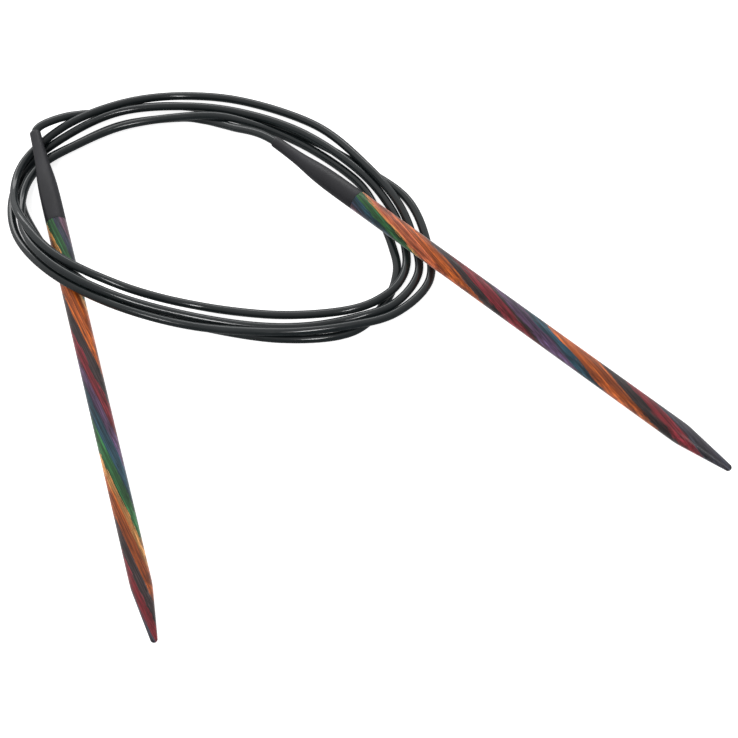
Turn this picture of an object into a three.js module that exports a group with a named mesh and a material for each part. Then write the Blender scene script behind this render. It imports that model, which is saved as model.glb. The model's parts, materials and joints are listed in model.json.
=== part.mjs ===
// A fixed circular knitting needle, lying on a table with its cable in a loose oval coil.
// Units are millimetres and +Z is up. The table is the plane z = 0, and X = Y = 0 is under the middle of
// the two tips.
//
// Each tip is built along its own +Y axis: the sleeve's mouth, where the cable comes out, is at y = 0 and
// the wooden point is at y = TIP_LENGTH. A turned group then lays the tip where it belongs.

import * as THREE from "three";

// Wooden needle, turned from laminated veneer
const NEEDLE_D = 4.5;
const WOOD_LENGTH = 98;
const POINT_LENGTH = 12; // the cone at the working end
const NOSE_R = 0.75;
const SPIGOT_D = 2.9; // turned down to go inside the sleeve
const SPIGOT_LENGTH = 8.3;
const BORE_DEPTH = 18; // blind hole for the cable, from the spigot's end
const REST_START = 60; // from the mouth; the underside ahead of it is a face of its own, clear of the coil
const SHAFT_SIDES = 16;

// Cable
const CABLE_D = 1.85;
const CABLE_SIDES = 8;
const GLUED_SIDES = 12;

// Tapered sleeve over the joint
const SLEEVE_LENGTH = 24;
const NECK_D = 2.65;
const FLARE_START = 4.5; // from the mouth
const FLARE_END = 20; // from the mouth, where the sleeve has reached the needle's diameter
const FLARE_STEPS = 7;
const SLEEVE_SIDES = 16;

const GAP = 0.2; // all round, between pieces that are glued or pressed together
const BORE_D = CABLE_D + 2 * GAP;
const TIP_LENGTH = SLEEVE_LENGTH + WOOD_LENGTH;
const SPIGOT_BACK = SLEEVE_LENGTH - SPIGOT_LENGTH;

// Where each tip lies: the middle of its mouth, and its heading in degrees, anticlockwise from +Y
const TIPS = {
  left: { mouth: [-62.1, 61.0, 5.6], heading: 183.0 },
  right: { mouth: [-9.9, 43.0, 5.9], heading: 216.6 },
};

// The middle of the bundle of turns, clockwise from beside the left sleeve: x, y, half of the bundle's
// width, its underside and its top. It runs under the left sleeve and the right needle, and over the left
// needle.
const COIL = [
  [-54.7, 60.8, 4.0, 0.2, 3.6],
  [-42.7, 62.7, 4.0, 0.1, 3.6],
  [-29.3, 60.8, 3.9, 0.1, 3.5],
  [-16.2, 55.4, 3.8, 0.1, 3.4],
  [-2.8, 45.2, 3.6, 0.1, 2.8],
  [6.8, 32.2, 3.4, 0.1, 1.8],
  [11.6, 22.0, 3.8, 0.1, 1.8],
  [13.2, 12.4, 4.3, 0.1, 1.8],
  [12.0, 4.6, 4.2, 0.1, 2.0],
  [5.6, -0.8, 3.4, 0.1, 3.4],
  [-3.7, -3.2, 3.4, 0.1, 3.6],
  [-17.9, 0.1, 3.5, 0.2, 3.6],
  [-34.9, 7.4, 3.2, 0.7, 4.3],
  [-50.0, 16.2, 3.2, 5.3, 9.0],
  [-61.0, 25.7, 3.0, 7.6, 11.4],
  [-67.8, 36.6, 2.7, 5.6, 10.2],
  [-69.2, 47.6, 2.2, 1.0, 5.8],
  [-64.6, 56.0, 2.6, 0.2, 3.6],
];
const COIL_STEPS = 72;
const COIL_SIDES = 10;
const COIL_SQUARENESS = 0.6; // 1 makes the bundle's section an ellipse, and less makes it squarer

// Free stretches of cable from each mouth down to the coil. Two points lead straight out of the sleeve, and
// the others are chosen by hand.
const STRAIGHT_OUT = [GAP, 1.5];
const LEADS = {
  left: [
    [-61.0, 62.8, 5.5],
    [-59.7, 63.6, 5.2],
    [-58.2, 64.3, 4.9],
  ],
  right: [
    [-12.3, 46.2, 5.4],
    [-13.3, 47.4, 5.0],
    [-14.3, 48.6, 4.5],
  ],
};
const LEAD_STEPS = 6;

const WOOD = new THREE.MeshStandardMaterial({ color: 0x8a4a3c, roughness: 0.35 });
const SOFT_PLASTIC = new THREE.MeshStandardMaterial({ color: 0x34343a, roughness: 0.6 });
const CABLE_PLASTIC = new THREE.MeshStandardMaterial({ color: 0x24272a, roughness: 0.25 });

function named(name, geometry, material) {
  const mesh = new THREE.Mesh(geometry, material);
  mesh.name = name;
  return mesh;
}

// A solid of revolution about +Y from [radius, y] pairs, with one flat of its sides facing -Z
function turned(profile, sides) {
  const points = profile.map(([radius, y]) => new THREE.Vector2(radius, y));
  return new THREE.LatheGeometry(points, sides, Math.PI / sides);
}

// The wooden needle's outline: blind hole, spigot, shoulder, shaft, cone and round nose
function needleProfile() {
  const noseCentre = TIP_LENGTH - NOSE_R;
  const coneAngle = Math.atan((NEEDLE_D / 2 - NOSE_R) / (POINT_LENGTH - NOSE_R));
  const nose = [0, 0.34, 0.67, 1].map((part) => {
    const angle = coneAngle + part * (Math.PI / 2 - coneAngle);
    return [NOSE_R * Math.cos(angle), noseCentre + NOSE_R * Math.sin(angle)];
  });
  nose[nose.length - 1][0] = 0;
  return [
    [0, SPIGOT_BACK + BORE_DEPTH],
    [BORE_D / 2, SPIGOT_BACK + BORE_DEPTH],
    [BORE_D / 2, SPIGOT_BACK],
    [SPIGOT_D / 2, SPIGOT_BACK],
    [SPIGOT_D / 2, SLEEVE_LENGTH + GAP],
    [NEEDLE_D / 2, SLEEVE_LENGTH + GAP],
    [NEEDLE_D / 2, REST_START],
    [NEEDLE_D / 2, TIP_LENGTH - POINT_LENGTH],
    ...nose,
  ];
}

// The sleeve's outline: a narrow neck that flares smoothly to the needle's diameter, bored for the cable and
// counterbored for the spigot
function sleeveProfile() {
  const flare = [];
  for (let i = 0; i <= FLARE_STEPS; i++) {
    const part = i / FLARE_STEPS;
    const y = THREE.MathUtils.lerp(FLARE_START, FLARE_END, part);
    const diameter = THREE.MathUtils.lerp(NECK_D, NEEDLE_D, THREE.MathUtils.smoothstep(part, 0, 1));
    flare.push([diameter / 2, y]);
  }
  const counterbore = SPIGOT_D / 2 + GAP;
  return [
    [BORE_D / 2, 0],
    [NECK_D / 2, 0],
    ...flare,
    [NEEDLE_D / 2, SLEEVE_LENGTH],
    [counterbore, SLEEVE_LENGTH],
    [counterbore, SPIGOT_BACK - GAP],
    [BORE_D / 2, SPIGOT_BACK - GAP],
    [BORE_D / 2, 0],
  ];
}

// The cable's end, glued into the sleeve and the needle
function gluedEndProfile() {
  const end = SPIGOT_BACK + BORE_DEPTH - GAP;
  return [
    [0, 0],
    [CABLE_D / 2, 0],
    [CABLE_D / 2, end],
    [0, end],
  ];
}

// The pitch at which the front end of a tip's shaft rests on the table while its mouth is at this height
function pitchOf(mouthHeight) {
  const restHeight = (NEEDLE_D / 2) * Math.cos(Math.PI / SHAFT_SIDES);
  return Math.asin((mouthHeight - restHeight) / (TIP_LENGTH - POINT_LENGTH));
}

function makeTip(side) {
  const { mouth, heading } = TIPS[side];
  const tip = new THREE.Group();
  tip.add(named(`needle_${side}`, turned(needleProfile(), SHAFT_SIDES), WOOD));
  tip.add(named(`sleeve_${side}`, turned(sleeveProfile(), SLEEVE_SIDES), SOFT_PLASTIC));
  tip.add(named(`cable_end_${side}`, turned(gluedEndProfile(), GLUED_SIDES), CABLE_PLASTIC));
  tip.rotation.set(-pitchOf(mouth[2]), 0, THREE.MathUtils.degToRad(heading), "ZXY");
  tip.position.set(...mouth);
  return tip;
}

// The free stretch of cable that leaves a tip's mouth
function makeLead(side, tip) {
  tip.updateMatrixWorld(true);
  const out = STRAIGHT_OUT.map((distance) => tip.localToWorld(new THREE.Vector3(0, -distance, 0)));
  const onwards = LEADS[side].map((point) => new THREE.Vector3(...point));
  const route = new THREE.CatmullRomCurve3([...out, ...onwards]);
  const section = new THREE.Shape();
  section.absarc(0, 0, CABLE_D / 2, 0, 2 * Math.PI);
  const tube = new THREE.ExtrudeGeometry(section, {
    extrudePath: route,
    steps: LEAD_STEPS,
    curveSegments: CABLE_SIDES / 2, // a full circle takes two points for each
  });
  return named(`cable_lead_${side}`, tube, CABLE_PLASTIC);
}

// The outer shape of all the turns: a ring whose vertices are moved from a plain torus onto the bundle
function makeCoil() {
  const middle = new THREE.CatmullRomCurve3(
    COIL.map(([x, y, , low, high]) => new THREE.Vector3(x, y, (low + high) / 2)),
    true,
    "catmullrom",
  );
  const halfSize = new THREE.CatmullRomCurve3(
    COIL.map(([, , halfWidth, low, high]) => new THREE.Vector3(halfWidth, (high - low) / 2, 0)),
    true,
    "catmullrom",
  );
  const ring = new THREE.TorusGeometry(2, 1, COIL_SIDES, COIL_STEPS);
  const place = ring.attributes.position;
  for (let step = 0; step <= COIL_STEPS; step++) {
    const along = (step % COIL_STEPS) / COIL_STEPS;
    const centre = middle.getPoint(along);
    const ahead = middle.getTangent(along);
    const outward = new THREE.Vector3(-ahead.y, ahead.x, 0).normalize();
    const half = halfSize.getPoint(along);
    for (let side = 0; side <= COIL_SIDES; side++) {
      const angle = (-2 * Math.PI * (side % COIL_SIDES)) / COIL_SIDES;
      const across = half.x * squared(Math.cos(angle));
      const up = half.y * squared(Math.sin(angle));
      const point = centre.clone().addScaledVector(outward, across);
      point.z += up;
      place.setXYZ(side * (COIL_STEPS + 1) + step, point.x, point.y, point.z);
    }
  }
  return named("cable_coil", ring, CABLE_PLASTIC);
}

// A sine or cosine drawn out towards its ends, which turns an ellipse into a rounded rectangle
function squared(value) {
  return Math.sign(value) * Math.abs(value) ** COIL_SQUARENESS;
}

const part = new THREE.Group();
for (const side of Object.keys(TIPS)) {
  const tip = makeTip(side);
  part.add(tip, makeLead(side, tip));
}
part.add(makeCoil());

export default part;
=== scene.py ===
"""A fixed circular knitting needle: two laminated wooden tips on one dark cable in a loose oval coil.

Shapes are worked out in millimetres, as in the CAD part, and turned into metres where a mesh is made. Each
tip is built along its own +Y axis, with the sleeve's mouth at y = 0 and the wooden point at y = TIP_LENGTH.
"""

import json
import math

import bmesh
import bpy
import numpy as np
from mathutils import Matrix, Vector


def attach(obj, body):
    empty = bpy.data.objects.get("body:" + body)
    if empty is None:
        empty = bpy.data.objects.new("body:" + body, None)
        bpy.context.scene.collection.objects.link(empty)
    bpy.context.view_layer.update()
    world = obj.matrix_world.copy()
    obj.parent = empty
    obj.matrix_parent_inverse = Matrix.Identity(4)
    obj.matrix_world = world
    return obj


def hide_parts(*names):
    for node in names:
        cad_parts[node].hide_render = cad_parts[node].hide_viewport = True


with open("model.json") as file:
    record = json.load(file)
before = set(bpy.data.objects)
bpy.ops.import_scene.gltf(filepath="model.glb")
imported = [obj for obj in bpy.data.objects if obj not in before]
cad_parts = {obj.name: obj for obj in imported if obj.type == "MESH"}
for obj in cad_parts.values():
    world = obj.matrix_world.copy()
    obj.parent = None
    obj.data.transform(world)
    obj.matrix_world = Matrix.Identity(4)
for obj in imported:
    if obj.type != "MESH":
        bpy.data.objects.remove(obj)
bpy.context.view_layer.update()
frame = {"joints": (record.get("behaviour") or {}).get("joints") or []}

MM = 0.001

# Wooden needle: radii, and distances from the mouth
NEEDLE_R = 2.25
SPIGOT_R = 1.45
BORE_R = 1.125
SPIGOT_BACK = 15.7
BORE_END = 33.7
WOOD_START = 24.05
SHAFT_END = 110.0
TIP_LENGTH = 122.0
NOSE_R = 0.75
CONE_SLOPE = 0.125
SHAFT_SIDES = 16  # of the CAD solid, which rests on one of them

# Tapered sleeve: radii, and distances from the mouth
SLEEVE_END = 24.0
SLEEVE_BORE = 1.0
COUNTERBORE = 1.65
COUNTERBORE_GAP = 0.2
NECK_R = 1.3
FLARE_START = 4.5
FLARE_LENGTH = 15.5

# Cable: its diameter, and distances from the mouth into the tip
CABLE_D = 1.85
CABLE_START = 0.65
END_START = 0.9  # of the glued end
END_STOP = 33.5

# Sides of the round meshes
NEEDLE_SIDES = 64
SLEEVE_SIDES = 48
CABLE_SIDES = 24

# The table is z = 0, and a tip's shaft rests on it at SHAFT_END
REST_HEIGHT = NEEDLE_R * math.cos(math.pi / SHAFT_SIDES)
MOUTHS = {joint["child"]: Vector(joint["pos_m"]) / MM for joint in frame["joints"]}
HEADINGS = {"left": 183.0, "right": 216.6}


# ---------------------------------------------------------------- camera

AIM = Vector((-1.9, -13.6, 0.0))
DISTANCE = 343.6
ELEVATION = math.radians(65)
ROLL = math.radians(14)
LENS = 80
NEAR_CLIP = 0.01  # metres


def add_camera():
    forward = Vector((0, math.cos(ELEVATION), -math.sin(ELEVATION)))
    level_down = Vector((0, -math.sin(ELEVATION), -math.cos(ELEVATION)))
    right = math.cos(ROLL) * Vector((1, 0, 0)) + math.sin(ROLL) * level_down
    up = math.sin(ROLL) * Vector((1, 0, 0)) - math.cos(ROLL) * level_down
    data = bpy.data.cameras.new("camera")
    data.lens = LENS
    data.clip_start = NEAR_CLIP
    camera = bpy.data.objects.new("camera", data)
    turn = Matrix((right, up, -forward)).transposed().to_4x4()
    camera.matrix_world = Matrix.Translation((AIM - DISTANCE * forward) * MM) @ turn
    bpy.context.scene.collection.objects.link(camera)
    bpy.context.scene.camera = camera


# ---------------------------------------------------------------- tips' axes


def tip_matrix(side):
    """The tip's own frame in the model, in millimetres"""
    mouth = MOUTHS[f"{side}_tip"]
    pitch = math.asin((mouth.z - REST_HEIGHT) / SHAFT_END)
    heading = Matrix.Rotation(math.radians(HEADINGS[side]), 4, "Z")
    return Matrix.Translation(mouth) @ heading @ Matrix.Rotation(-pitch, 4, "X")


def tip_axis(side):
    """The mouth and the unit vector from it to the point"""
    matrix = tip_matrix(side)
    return np.array(matrix.translation), np.array(matrix.col[1].xyz)


def tip_radius(y):
    """The tip's outer radius at a distance from its mouth, as far as the cable has to keep clear of it"""
    part = np.clip((y - FLARE_START) / FLARE_LENGTH, 0, 1)
    body = NECK_R + (NEEDLE_R - NECK_R) * part * part * (3 - 2 * part)
    return np.where(y > SHAFT_END, NEEDLE_R - (y - SHAFT_END) * CONE_SLOPE, body)


# ---------------------------------------------------------------- the cable's route

# The middle of the bundle of turns, clockwise from beside the left sleeve: the CAD coil's own points
STATIONS = [
    (-54.7, 60.8), (-42.7, 62.7), (-29.3, 60.8), (-16.2, 55.4), (-2.8, 45.2), (6.8, 32.2),
    (11.6, 22.0), (13.2, 12.4), (12.0, 4.6), (5.6, -0.8), (-3.7, -3.2), (-17.9, 0.1),
    (-34.9, 7.4), (-50.0, 16.2), (-61.0, 25.7), (-67.8, 36.6), (-69.2, 47.6), (-64.6, 56.0),
]

# Where each turn runs at each station: its distance outside the middle, in cable diameters
LANES = [
    [0.85, 0.40, -0.35, -0.50, 0.15, 1.45, 1.65, 1.80, 1.15, 0.05, 0.75, 1.60, 1.95, 1.65, 1.15, 0.60, 0.50],
    [0.40, 0.40, -0.15, -0.40, 0.05, 0.80, 0.30, -0.70, -1.45, -1.35, -1.75, -1.70, -1.45, -0.35, 0.15,
     -0.50, -0.45, 0.55],
    [1.75, 1.75, 1.95, 1.90, 1.70, 0.80, 0.75, 0.55, 0.75, 1.00, -0.10, 0.05, 0.35, 0.75, 0.60, 0.05, -0.80,
     -1.30],
    [-1.90, -2.10, -2.35, -1.85, -1.15, -0.75, -1.60, -1.75, -1.60, -0.45, 0.75, 1.15, 0.95, 1.35, 0.35,
     -0.80, -0.50, -0.60],
    [-1.30, -1.05, -0.75],
]
FIRST_STATION = 1  # the first turn joins the bundle here, and the others at station 0

# How many turns are beneath it at each station, and how far apart two layers lie, in cable diameters
LAYER_HEIGHT = 1.05
LAYERS = [
    "00000000111110000",
    "111111000110011211",
    "110001000100111111",
    "111100000000000000",
    "000",
]

# The height that the bundle rests on: the table, except at these stations, where it crosses the left needle
BENEATH = {13: 4.0, 14: 6.8, 15: 4.0, 16: 0.5}

# From the left mouth down to the first turn, and from the last turn up to the right mouth
LEFT_LEAD = [
    (-61.2, 62.1, 5.6), (-59.9, 62.9, 5.2), (-58.2, 63.6, 4.2), (-56.3, 64.2, 3.1),
    (-54.3, 64.6, 2.1), (-52.2, 64.7, 1.2), (-50.0, 64.6, 0.95), (-46.4, 63.7, 0.95),
]
RIGHT_LEAD = [
    (-24.0, 57.1, 0.95), (-20.3, 54.2, 1.5), (-17.3, 51.1, 2.8), (-14.8, 48.6, 4.2), (-12.4, 46.0, 5.4),
]

# Distances between points, and how many points a span between two given points takes before it is resampled
ROUTE_STEP = 1.0
MESH_STEP = 0.6
ROUTE_POINTS = 30
MESH_POINTS = 4


def catmull_rom(points, per_span):
    """A smooth line through the points"""
    points = np.asarray(points, float)
    first = 2 * points[0] - points[1]
    last = 2 * points[-1] - points[-2]
    padded = np.vstack([first, points, last])
    t = np.linspace(0, 1, per_span, endpoint=False)[:, None]
    spans = []
    for a, b, c, d in zip(padded, padded[1:], padded[2:], padded[3:]):
        cubic = (3 * b - 3 * c + d - a) * t**3
        square = (2 * a - 5 * b + 4 * c - d) * t**2
        spans.append(0.5 * (2 * b + (c - a) * t + square + cubic))
    return np.vstack([*spans, points[-1:]])


def lengths_along(line):
    """Each point's distance from the start, along the line"""
    steps = np.linalg.norm(np.diff(line, axis=0), axis=1)
    return np.concatenate([[0], np.cumsum(steps)])


def resampled(line, step):
    """The same line with points an even distance apart"""
    along = lengths_along(line)
    at = np.linspace(0, along[-1], int(round(along[-1] / step)) + 1)
    return np.stack([np.interp(at, along, line[:, k]) for k in range(3)], axis=1)


def turn_points():
    """A point for each turn at each station that it passes"""
    middle = np.array(STATIONS)
    ahead = np.roll(middle, -1, axis=0) - np.roll(middle, 1, axis=0)
    ahead /= np.linalg.norm(ahead, axis=1)[:, None]
    outward = np.stack([-ahead[:, 1], ahead[:, 0]], axis=1)
    points = []
    for turn, (lanes, layers) in enumerate(zip(LANES, LAYERS)):
        first = FIRST_STATION if turn == 0 else 0
        for station, (lane, layer) in enumerate(zip(lanes, layers), start=first):
            x, y = middle[station] + outward[station] * lane * CABLE_D
            z = BENEATH.get(station, 0) + CABLE_D * (0.5 + LAYER_HEIGHT * int(layer))
            points.append((x, y, z))
    return points


def cable_route():
    left, left_axis = tip_axis("left")
    right, right_axis = tip_axis("right")
    start = [left + CABLE_START * left_axis, left]
    stop = [right, right + CABLE_START * right_axis]
    route = [*start, *LEFT_LEAD, *turn_points(), *RIGHT_LEAD, *stop]
    return resampled(catmull_rom(route, ROUTE_POINTS), ROUTE_STEP)


# ---------------------------------------------------------------- settling the cable

ROUNDS = 600
PASSES = 3  # of pushing apart in each round
SEARCH_EVERY = 5  # rounds between two searches for close pairs
SEARCH_MARGIN = 1.0  # how much further than contact a search looks
CONTACT = 1.03 * CABLE_D  # how far apart two stretches of cable are kept
STIFFNESS = 60.0
FALL = 0.02  # how far the cable drops in each round, until it is free to slide
LAST_FALL = 0.006
HOLD = 0.06  # how firmly it keeps to its lanes at first, and HOLD_HEIGHT to its height throughout
HOLD_HEIGHT = 0.03
FREE_FROM = 0.75  # the share of the rounds after which it is free to slide
NEIGHBOURS = 8  # points this near along the cable don't push each other
FIXED = 4  # points held in each mouth
GRIP = 1e4  # how firmly they are held against bending
OWN = 9  # points at each end that may be inside their own tip
TIP_GAP = 0.05  # air between the cable and a tip
CROWDING = 0.6  # how much of each push counts where many strands push one point
TINY = 1e-9  # keeps divisions from failing


def bending_filter(count):
    """The matrix that smooths a shift of the cable's points as a stiff cable would"""
    bend = np.zeros((count - 2, count))
    row = np.arange(count - 2)
    bend[row, row] = 1
    bend[row, row + 1] = -2
    bend[row, row + 2] = 1
    weight = np.ones(count)
    weight[:FIXED] = GRIP
    weight[-FIXED:] = GRIP
    return np.linalg.inv(np.diag(weight) + STIFFNESS * bend.T @ bend) * weight


def close_pairs(points):
    """Pairs of points that touch or soon might, apart from neighbours along the cable"""
    squares = np.einsum("ij,ij->i", points, points)
    gaps = squares[:, None] + squares[None] - 2 * points @ points.T
    index = np.arange(len(points))
    apart = index[None] - index[:, None] > NEIGHBOURS
    return np.nonzero((gaps < (CONTACT + SEARCH_MARGIN) ** 2) & apart)


def push_apart(points, first, second):
    """Moves each pair of points that is too close apart by half of the overlap each"""
    between = points[second] - points[first]
    distance = np.linalg.norm(between, axis=1) + TINY
    near = distance < CONTACT
    first, second = first[near], second[near]
    push = between[near] / distance[near, None] * (CONTACT - distance[near, None]) / 2
    move = np.zeros_like(points)
    count = np.zeros(len(points))
    np.add.at(move, second, push)
    np.add.at(move, first, -push)
    np.add.at(count, second, 1)
    np.add.at(count, first, 1)
    points += move / np.maximum(1, CROWDING * count)[:, None]


def push_off_tip(points, mouth, axis, own):
    """Moves points out of a tip, apart from the cable's own end in its mouth"""
    offset = points - mouth
    y = offset @ axis
    across = offset - np.outer(y, axis)
    radius = np.linalg.norm(across, axis=1) + TINY
    clear = tip_radius(y) + CABLE_D / 2 + TIP_GAP
    inside = (y > 0) & (y < TIP_LENGTH) & (radius < clear) & ~own
    points[inside] += (across / radius[:, None] * (clear - radius)[:, None])[inside]


def settle(line):
    """Lets the cable drop on to the table, the needle and itself, while it keeps its stiffness and lanes"""
    count = len(line)
    index = np.arange(count)
    flat = line * (1, 1, 0)
    shift = line - flat
    ends = np.r_[0:FIXED, count - FIXED:count]
    held = shift[ends].copy()
    smooth = bending_filter(count)
    tips = [(*tip_axis("left"), index < OWN), (*tip_axis("right"), index >= count - OWN)]
    for number in range(ROUNDS):
        points = flat + shift
        if number % SEARCH_EVERY == 0:
            first, second = close_pairs(points)
        points[:, 2] -= HOLD_HEIGHT * (points[:, 2] - line[:, 2])
        if number < FREE_FROM * ROUNDS:
            points[:, 2] -= FALL
            points[:, :2] -= HOLD * shift[:, :2]
        else:
            points[:, 2] -= LAST_FALL
        for _ in range(PASSES):
            push_apart(points, first, second)
            for mouth, axis, own in tips:
                push_off_tip(points, mouth, axis, own)
            points[:, 2] = np.maximum(points[:, 2], CABLE_D / 2)
        shift = smooth @ (points - flat)
        shift[ends] = held
    return flat + shift


# ---------------------------------------------------------------- meshes


def new_object(name, verts, faces, smooth_angle):
    """A smooth-shaded mesh object from millimetre points, with edges sharper than smooth_angle kept crisp"""
    mesh = bpy.data.meshes.new(name)
    mesh.from_pydata([Vector(v) * MM for v in verts], [], faces)
    work = bmesh.new()
    work.from_mesh(mesh)
    bmesh.ops.recalc_face_normals(work, faces=work.faces)
    work.to_mesh(mesh)
    work.free()
    mesh.shade_smooth()
    mesh.set_sharp_from_angle(angle=math.radians(smooth_angle))
    thing = bpy.data.objects.new(name, mesh)
    bpy.context.scene.collection.objects.link(thing)
    return thing


def angles_around(sides):
    return [2 * math.pi * k / sides for k in range(sides)]


def turned(name, profile, sides, matrix, closed=False, shape=None):
    """A solid of revolution about +Y from (radius, y) pairs; shape may change a radius by angle and y"""
    verts = []
    rings = []
    for radius, y in profile:
        if radius == 0:
            rings.append([len(verts)] * sides)
            verts.append((0, y, 0))
            continue
        rings.append([len(verts) + k for k in range(sides)])
        for angle in angles_around(sides):
            r = shape(radius, angle, y) if shape else radius
            verts.append((r * math.cos(angle), y, r * math.sin(angle)))
    pairs = list(zip(rings, rings[1:]))
    if closed:
        pairs.append((rings[-1], rings[0]))
    faces = []
    for low, high in pairs:
        for k in range(sides):
            j = (k + 1) % sides
            corners = [low[k], low[j], high[j], high[k]]
            faces.append(list(dict.fromkeys(corners)))
    placed = [matrix @ Vector(vert) for vert in verts]
    return new_object(name, placed, faces, smooth_angle=35)


def tube(name, line, radius, sides):
    """A round tube along a line, with closed ends. Its section doesn't twist."""
    ahead = np.gradient(line, axis=0)
    ahead /= np.linalg.norm(ahead, axis=1)[:, None]
    across = np.cross(ahead[0], (0, 0, 1))
    verts = []
    for point, direction in zip(line, ahead):
        across = across - direction * (across @ direction)
        across /= np.linalg.norm(across)
        beside = np.cross(direction, across)
        for angle in angles_around(sides):
            verts.append(point + radius * (across * math.cos(angle) + beside * math.sin(angle)))
    faces = []
    for step in range(len(line) - 1):
        low = step * sides
        for k in range(sides):
            j = (k + 1) % sides
            faces.append([low + k, low + j, low + sides + j, low + sides + k])
    faces.append(list(range(sides)))
    faces.append([len(verts) - sides + k for k in range(sides)])
    return new_object(name, verts, faces, smooth_angle=60)


# ---------------------------------------------------------------- material helpers


def srgb(red, green, blue):
    """A linear colour from screen values of 0 to 255"""
    values = [c / 255 for c in (red, green, blue)]
    linear = [c / 12.92 if c <= 0.04045 else ((c + 0.055) / 1.055) ** 2.4 for c in values]
    return (*linear, 1.0)


class Nodes:
    """A material's node tree, with short calls for the nodes used here"""

    def __init__(self, name, frame_of=None):
        self.material = bpy.data.materials.new(name)
        self.material.use_nodes = True
        self.tree = self.material.node_tree
        self.shader = self.tree.nodes["Principled BSDF"]
        self.place = self.tree.nodes.new("ShaderNodeTexCoord").outputs["Object"]
        if frame_of is not None:
            self.place = self.local(frame_of)

    def local(self, matrix):
        """The place in a tip's own frame"""
        node = self.tree.nodes.new("ShaderNodeMapping")
        node.vector_type = "TEXTURE"
        node.inputs["Location"].default_value = matrix.translation * MM
        node.inputs["Rotation"].default_value = matrix.to_euler()
        self.link(self.place, node.inputs["Vector"])
        return node.outputs["Vector"]

    def link(self, source, socket):
        """Joins another node's output to the socket, or gives it a constant"""
        if isinstance(source, bpy.types.NodeSocket):
            self.tree.links.new(source, socket)
        else:
            socket.default_value = source

    def math(self, operation, a, b):
        node = self.tree.nodes.new("ShaderNodeMath")
        node.operation = operation
        self.link(a, node.inputs[0])
        self.link(b, node.inputs[1])
        return node.outputs[0]

    def dot(self, vector, direction):
        """How far the vector reaches in the direction, times the direction's length"""
        node = self.tree.nodes.new("ShaderNodeVectorMath")
        node.operation = "DOT_PRODUCT"
        self.link(vector, node.inputs[0])
        node.inputs[1].default_value = direction
        return node.outputs["Value"]

    def stretched(self, scale):
        node = self.tree.nodes.new("ShaderNodeMapping")
        node.inputs["Scale"].default_value = scale
        self.link(self.place, node.inputs["Vector"])
        return node.outputs["Vector"]

    def skewed(self, *directions):
        """The place measured along three directions of any length, which need not be square to each other"""
        node = self.tree.nodes.new("ShaderNodeCombineXYZ")
        for socket, direction in zip(node.inputs, directions):
            self.link(self.dot(self.place, direction), socket)
        return node.outputs["Vector"]

    def noise(self, vector, detail=3.0, roughness=0.5, distortion=0.0):
        node = self.tree.nodes.new("ShaderNodeTexNoise")
        self.link(vector, node.inputs["Vector"])
        node.inputs["Scale"].default_value = 1.0
        node.inputs["Detail"].default_value = detail
        node.inputs["Roughness"].default_value = roughness
        node.inputs["Distortion"].default_value = distortion
        return node.outputs["Fac"]

    def between(self, value, low, high, to_low, to_high):
        """The value, mapped from one range to another and kept inside it"""
        node = self.tree.nodes.new("ShaderNodeMapRange")
        self.link(value, node.inputs["Value"])
        node.inputs["From Min"].default_value = low
        node.inputs["From Max"].default_value = high
        node.inputs["To Min"].default_value = to_low
        node.inputs["To Max"].default_value = to_high
        return node.outputs["Result"]

    def ramp(self, value, stops, interpolation="LINEAR"):
        """Colours by value, from (place, colour) pairs"""
        node = self.tree.nodes.new("ShaderNodeValToRGB")
        node.color_ramp.interpolation = interpolation
        elements = node.color_ramp.elements
        elements.remove(elements[-1])
        elements[0].position, elements[0].color = stops[0]
        for position, colour in stops[1:]:
            elements.new(position).color = colour
        self.link(value, node.inputs["Fac"])
        return node.outputs["Color"]

    def mix(self, factor, a, b, blend="MIX"):
        node = self.tree.nodes.new("ShaderNodeMix")
        node.data_type = "RGBA"
        node.blend_type = blend
        self.link(factor, node.inputs["Factor"])
        self.link(a, node.inputs["A"])
        self.link(b, node.inputs["B"])
        return node.outputs["Result"]

    def bump(self, height, distance, strength):
        node = self.tree.nodes.new("ShaderNodeBump")
        node.inputs["Strength"].default_value = strength
        node.inputs["Distance"].default_value = distance
        self.link(height, node.inputs["Height"])
        self.link(node.outputs["Normal"], self.shader.inputs["Normal"])

    def set(self, **values):
        """Gives the shader its inputs, by their names in lower case with underscores"""
        for name, value in values.items():
            socket = name.replace("_", " ").title().replace("Ior", "IOR")
            self.link(value, self.shader.inputs[socket])


# ---------------------------------------------------------------- materials

MAUVE = srgb(90, 58, 70)
NAVY = srgb(46, 50, 64)
GREEN = srgb(38, 84, 44)
TAN = srgb(200, 134, 72)
SALMON = srgb(166, 80, 48)
ORANGE = srgb(158, 72, 22)
CHARCOAL = srgb(56, 42, 42)
CRIMSON = srgb(116, 30, 38)
PURPLE = srgb(78, 54, 80)
TEAL = srgb(32, 60, 72)
SLATE = srgb(56, 52, 60)

# The veneers in order from the sleeve: where each starts along the middle of the needle's top
VENEERS = {
    "left": [
        (-20, MAUVE), (20, NAVY), (26.5, GREEN), (35, TAN), (38, ORANGE), (52.5, CHARCOAL), (59.5, CRIMSON),
        (67, PURPLE), (73.5, TEAL), (81.5, GREEN), (90.5, TAN), (95.5, ORANGE), (104.5, CHARCOAL),
        (113, CRIMSON), (121, SLATE),
    ],
    "right": [
        (-20, MAUVE), (17.5, NAVY), (21, TEAL), (26, GREEN), (33, TAN), (34, SALMON), (42, ORANGE),
        (51, CHARCOAL), (57, CRIMSON), (66, CHARCOAL), (68, PURPLE), (76.5, TEAL), (83, ORANGE),
        (96.5, CHARCOAL), (103, CRIMSON), (110.5, SLATE),
    ],
}

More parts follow.
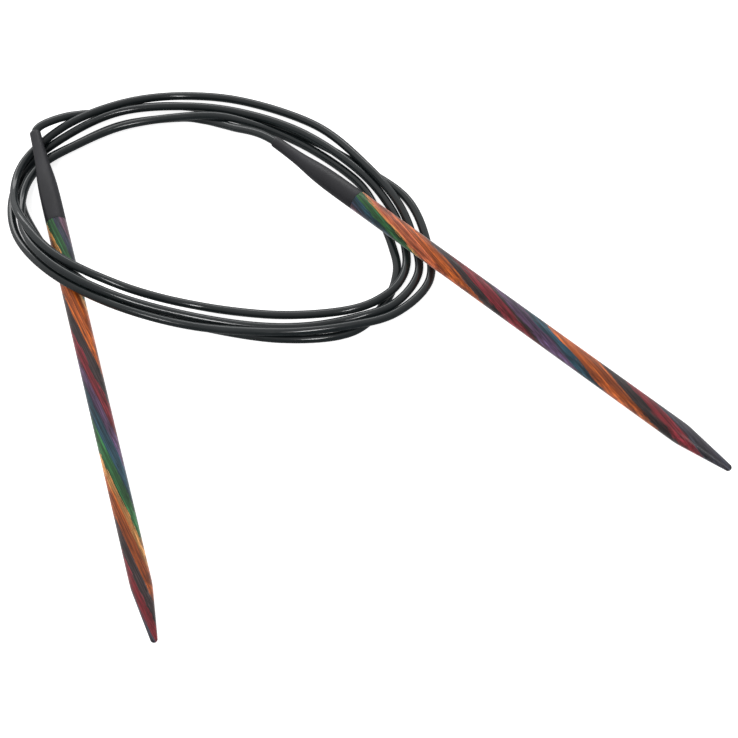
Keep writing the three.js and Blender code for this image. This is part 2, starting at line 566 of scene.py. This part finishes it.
# How far a layer's edge moves along the needle for each millimetre across it, towards local x and z
SLANTS = {"left": (5.0, 0.3), "right": (-4.2, 1.0)}
RAMP_START = -20.0
RAMP_LENGTH = 160.0
FIBRE_HEIGHT = 0.00002  # metres, for the wood's fibres and the sleeve's pebbles


def across_layers(side):
    """A direction in the tip's frame along which the layers follow each other"""
    slant_x, slant_z = SLANTS[side]
    return Vector((slant_x, 1, slant_z))


def veneer_layers(nodes, side, fibres):
    """The flat layers' colours where the round needle cuts them, with edges that wander and feather"""
    wander = nodes.noise(nodes.stretched((400, 50, 400)), detail=2.0)
    feather = nodes.noise(fibres, detail=4.0, roughness=0.6)
    along = nodes.dot(nodes.place, across_layers(side) / MM)
    along = nodes.math("ADD", along, nodes.between(wander, 0, 1, -2.2, 2.2))
    along = nodes.math("ADD", along, nodes.between(feather, 0.3, 0.7, -1.6, 1.6))
    place = nodes.between(along, RAMP_START, RAMP_START + RAMP_LENGTH, 0, 1)
    stops = [((start - RAMP_START) / RAMP_LENGTH, colour) for start, colour in VENEERS[side]]
    return nodes.ramp(place, stops, "CONSTANT")


def wood_material(side):
    """Lacquered laminate of dyed birch veneers, cut at a slant so that the flat layers show as long stripes.

    Bands, streaks and fibres all run with the layers, and each is finer than the one before.
    """
    nodes = Nodes(f"wood_{side}", tip_matrix(side))
    across = across_layers(side)
    bands = nodes.skewed(330 * across, (0, 25, 0), (0, 0, 500))
    streaks = nodes.skewed(800 * across, (0, 45, 0), (0, 0, 900))
    fibres = nodes.skewed(1500 * across, (0, 160, 0), (0, 0, 2500))
    layers = veneer_layers(nodes, side, fibres)
    depth = nodes.between(nodes.noise(bands, detail=3.0), 0.34, 0.66, 0.45, 1.45)
    toned = nodes.mix(1.0, layers, depth, "MULTIPLY")
    grain = nodes.noise(fibres, detail=5.0, roughness=0.7)
    shade = nodes.between(grain, 0.32, 0.68, 0.2, 1.75)
    shaded = nodes.mix(1.0, toned, shade, "MULTIPLY")
    figure = nodes.noise(streaks, detail=3.0, distortion=0.4)
    pale = nodes.between(figure, 0.48, 0.66, 0.0, 1.0)
    lighter = nodes.mix(1.0, shaded, (1.9, 2.3, 2.5, 1), "MULTIPLY")
    nodes.set(
        base_color=nodes.mix(pale, shaded, lighter),
        roughness=nodes.between(grain, 0.3, 0.7, 0.5, 0.38),
        specular_ior_level=0.35,
        coat_weight=0.12,
        coat_roughness=0.2,
        sheen_weight=0.45,
        sheen_roughness=0.35,
    )
    nodes.bump(grain, FIBRE_HEIGHT, strength=0.6)
    return nodes.material


def sleeve_material(side):
    """Heat-shrunk plastic: charcoal with a satin, slightly pebbled skin"""
    nodes = Nodes(f"sleeve_{side}", tip_matrix(side))
    cloud = nodes.noise(nodes.stretched((420, 160, 420)), detail=3.0)
    pebble = nodes.noise(nodes.stretched((6000, 5000, 6000)), detail=2.0)
    colour = nodes.ramp(cloud, [(0.3, srgb(22, 22, 27)), (0.7, srgb(32, 32, 38))])
    nodes.set(base_color=colour, roughness=nodes.between(cloud, 0.3, 0.7, 0.4, 0.54))
    nodes.bump(pebble, FIBRE_HEIGHT, strength=0.6)
    return nodes.material


def cable_material():
    """Smooth dark plastic with a slight sheen that varies along its length"""
    nodes = Nodes("cable")
    cloud = nodes.noise(nodes.stretched((90, 90, 90)), detail=4.0)
    colour = nodes.ramp(cloud, [(0.3, srgb(26, 32, 34)), (0.7, srgb(38, 43, 45))])
    nodes.set(base_color=colour, roughness=nodes.between(cloud, 0.3, 0.7, 0.1, 0.16))
    return nodes.material


# ---------------------------------------------------------------- pieces


def needle_profile():
    """Blind hole, spigot, shoulder against the sleeve, shaft, softened edge of the cone, and round nose"""
    slope = math.atan((NEEDLE_R - NOSE_R) / (TIP_LENGTH - SHAFT_END - NOSE_R))
    centre = TIP_LENGTH - NOSE_R
    cone_edge = [(2.25, 108.8), (2.238, 109.6), (2.19, 110.4), (2.095, 111.2), (1.99, 112.0)]
    nose = []
    for part in np.linspace(0, 1, 8):
        angle = slope + part * (math.pi / 2 - slope)
        nose.append((NOSE_R * math.cos(angle), centre + NOSE_R * math.sin(angle)))
    nose[-1] = (0, TIP_LENGTH)
    return [
        (0, BORE_END),
        (BORE_R, BORE_END - 0.3),
        (BORE_R, SPIGOT_BACK + 0.15),
        (BORE_R + 0.08, SPIGOT_BACK),
        (SPIGOT_R - 0.1, SPIGOT_BACK),
        (SPIGOT_R, SPIGOT_BACK + 0.2),
        (SPIGOT_R, WOOD_START),
        (NEEDLE_R - 0.06, WOOD_START),
        (NEEDLE_R, WOOD_START + 0.06),
        (NEEDLE_R, 50),
        (NEEDLE_R, 80),
        *cone_edge,
        *nose,
    ]


def sleeve_profile():
    """Closed outline: flared mouth, round lip, long swelling neck, and the bored and counterbored inside"""
    flare = [
        (1.26, 0.7), (1.3, 2.6), (1.38, 5.0), (1.52, 7.5), (1.72, 9.5), (1.94, 11.5), (2.1, 13.5),
        (2.19, 15.5), (2.24, 18.0), (2.25, 20.5), (2.25, 23.0),
    ]
    line = np.array([(radius, y, 0) for radius, y in flare])
    outside = [(radius, y) for radius, y, _ in catmull_rom(line, 4)]
    return [
        (SLEEVE_BORE, 1.0),
        (1.06, 0.6),
        (1.12, 0.2),
        (1.15, 0.06),
        (1.18, 0.02),
        (1.22, 0.1),
        (1.245, 0.3),
        *outside,
        (2.25, SLEEVE_END - 0.2),
        (2.22, SLEEVE_END),
        (COUNTERBORE, SLEEVE_END),
        (COUNTERBORE, SPIGOT_BACK - COUNTERBORE_GAP),
        (SLEEVE_BORE, SPIGOT_BACK - COUNTERBORE_GAP),
    ]


# The right sleeve's crease: its place round and along the sleeve, and its size
CREASE_ANGLE = 2.3
CREASE_WIDTH = 0.3
CREASE_MIDDLE = 12
CREASE_REACH = 6
CREASE_DEPTH = 0.06
LIP = 0.2  # the bore, and this much more round its mouth, stay as they are


def creased(radius, angle, y):
    """The sleeve's outside with a faint lengthwise crease, where it shrank on to the taper"""
    if radius <= SLEEVE_BORE + LIP:
        return radius
    near = math.exp(-(((angle - CREASE_ANGLE) / CREASE_WIDTH) ** 2))
    middle = math.exp(-(((y - CREASE_MIDDLE) / CREASE_REACH) ** 2))
    return radius - CREASE_DEPTH * near * middle


def cable_end_profile():
    """The stretch of cable that is glued into the sleeve and the needle"""
    radius = CABLE_D / 2
    return [
        (0, END_START),
        (radius - 0.1, END_START),
        (radius, END_START + 0.1),
        (radius, END_STOP - 0.15),
        (radius - 0.15, END_STOP),
        (0, END_STOP),
    ]


def finish_piece(piece, material, body, slot, *nodes):
    """Gives a piece its material and its body, and hides the CAD nodes that it stands for"""
    piece.data.materials.clear()
    piece.data.materials.append(material)
    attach(piece, body)
    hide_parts(*nodes)


def add_tip(side, cable_look):
    matrix = tip_matrix(side)
    body = f"{side}_tip"
    shape = creased if side == "right" else None
    wood = turned(f"{side}_wood", needle_profile(), NEEDLE_SIDES, matrix)
    sleeve = turned(f"{side}_sleeve", sleeve_profile(), SLEEVE_SIDES, matrix, closed=True, shape=shape)
    end = turned(f"{side}_glued_end", cable_end_profile(), CABLE_SIDES, matrix)
    finish_piece(wood, wood_material(side), body, "wood", f"needle_{side}")
    finish_piece(sleeve, sleeve_material(side), body, "sleeve", f"sleeve_{side}")
    finish_piece(end, cable_look, body, "cable", f"cable_end_{side}")


def add_cable(look):
    """The whole free cable, in the place of the CAD coil and both leads"""
    route = settle(cable_route())
    line = resampled(catmull_rom(route, MESH_POINTS), MESH_STEP)
    cable = tube("cable", line, CABLE_D / 2, CABLE_SIDES)
    finish_piece(cable, look, "cable", "cable", "cable_coil", "cable_lead_left", "cable_lead_right")


# ---------------------------------------------------------------- studio


FLOOR_SIZE = 4
FLOOR_DROP = 0.00005  # below the table's plane, so that nothing lies exactly in it


def add_floor():
    """A white sweep that glows a little. Shiny pieces mirror the weaker world in its place."""
    bpy.ops.mesh.primitive_plane_add(size=FLOOR_SIZE, location=(0, 0, -FLOOR_DROP))
    floor = bpy.context.object
    floor.name = "floor"
    floor.visible_glossy = False
    nodes = Nodes("floor")
    tone = nodes.noise(nodes.stretched((40, 40, 40)), detail=2.0)
    colour = nodes.ramp(tone, [(0.2, (0.86, 0.86, 0.86, 1)), (0.8, (0.88, 0.88, 0.88, 1))])
    nodes.set(base_color=colour, roughness=0.9, emission_color=(1, 1, 1, 1), emission_strength=0.8)
    floor.data.materials.append(nodes.material)


def add_light(name, place, size, watts):
    """A rectangular lamp that faces the object"""
    data = bpy.data.lights.new(name, "AREA")
    data.shape = "RECTANGLE"
    data.size, data.size_y = size
    data.energy = watts
    light = bpy.data.objects.new(name, data)
    light.location = place
    light.rotation_euler = (-Vector(place)).to_track_quat("-Z", "Y").to_euler()
    bpy.context.scene.collection.objects.link(light)


# The world's strength in front and behind, and its share of that below the horizon
FRONT_LIGHT = 0.1
BACK_LIGHT = 1.2
LOW_SHARE = 0.55


def add_world():
    """Soft light that grows from the front to the back, and is weaker below the horizon"""
    world = bpy.data.worlds.new("studio")
    world.use_nodes = True
    tree = world.node_tree
    direction = tree.nodes.new("ShaderNodeSeparateXYZ")
    tree.links.new(tree.nodes.new("ShaderNodeTexCoord").outputs["Generated"], direction.inputs["Vector"])
    back = tree.nodes.new("ShaderNodeMapRange")
    back.inputs["From Min"].default_value = -1
    back.inputs["To Min"].default_value = FRONT_LIGHT
    back.inputs["To Max"].default_value = BACK_LIGHT
    tree.links.new(direction.outputs["Y"], back.inputs["Value"])
    above = tree.nodes.new("ShaderNodeMapRange")
    above.inputs["From Min"].default_value = -0.05
    above.inputs["From Max"].default_value = 0.1
    above.inputs["To Min"].default_value = LOW_SHARE
    tree.links.new(direction.outputs["Z"], above.inputs["Value"])
    strength = tree.nodes.new("ShaderNodeMath")
    strength.operation = "MULTIPLY"
    tree.links.new(back.outputs["Result"], strength.inputs[0])
    tree.links.new(above.outputs["Result"], strength.inputs[1])
    background = tree.nodes["Background"]
    background.inputs["Color"].default_value = (1, 1, 1, 1)
    tree.links.new(strength.outputs["Value"], background.inputs["Strength"])
    bpy.context.scene.world = world


def add_studio():
    add_floor()
    add_world()
    add_light("lamp", place=(-0.2, -0.45, 0.76), size=(0.08, 0.35), watts=1.5)
    add_light("back", place=(0.1, 0.9, 0.5), size=(1.4, 0.2), watts=3.5)
    bpy.context.scene.view_settings.view_transform = "Standard"


add_camera()
cable_look = cable_material()
add_cable(cable_look)
for side in HEADINGS:
    add_tip(side, cable_look)
add_studio()
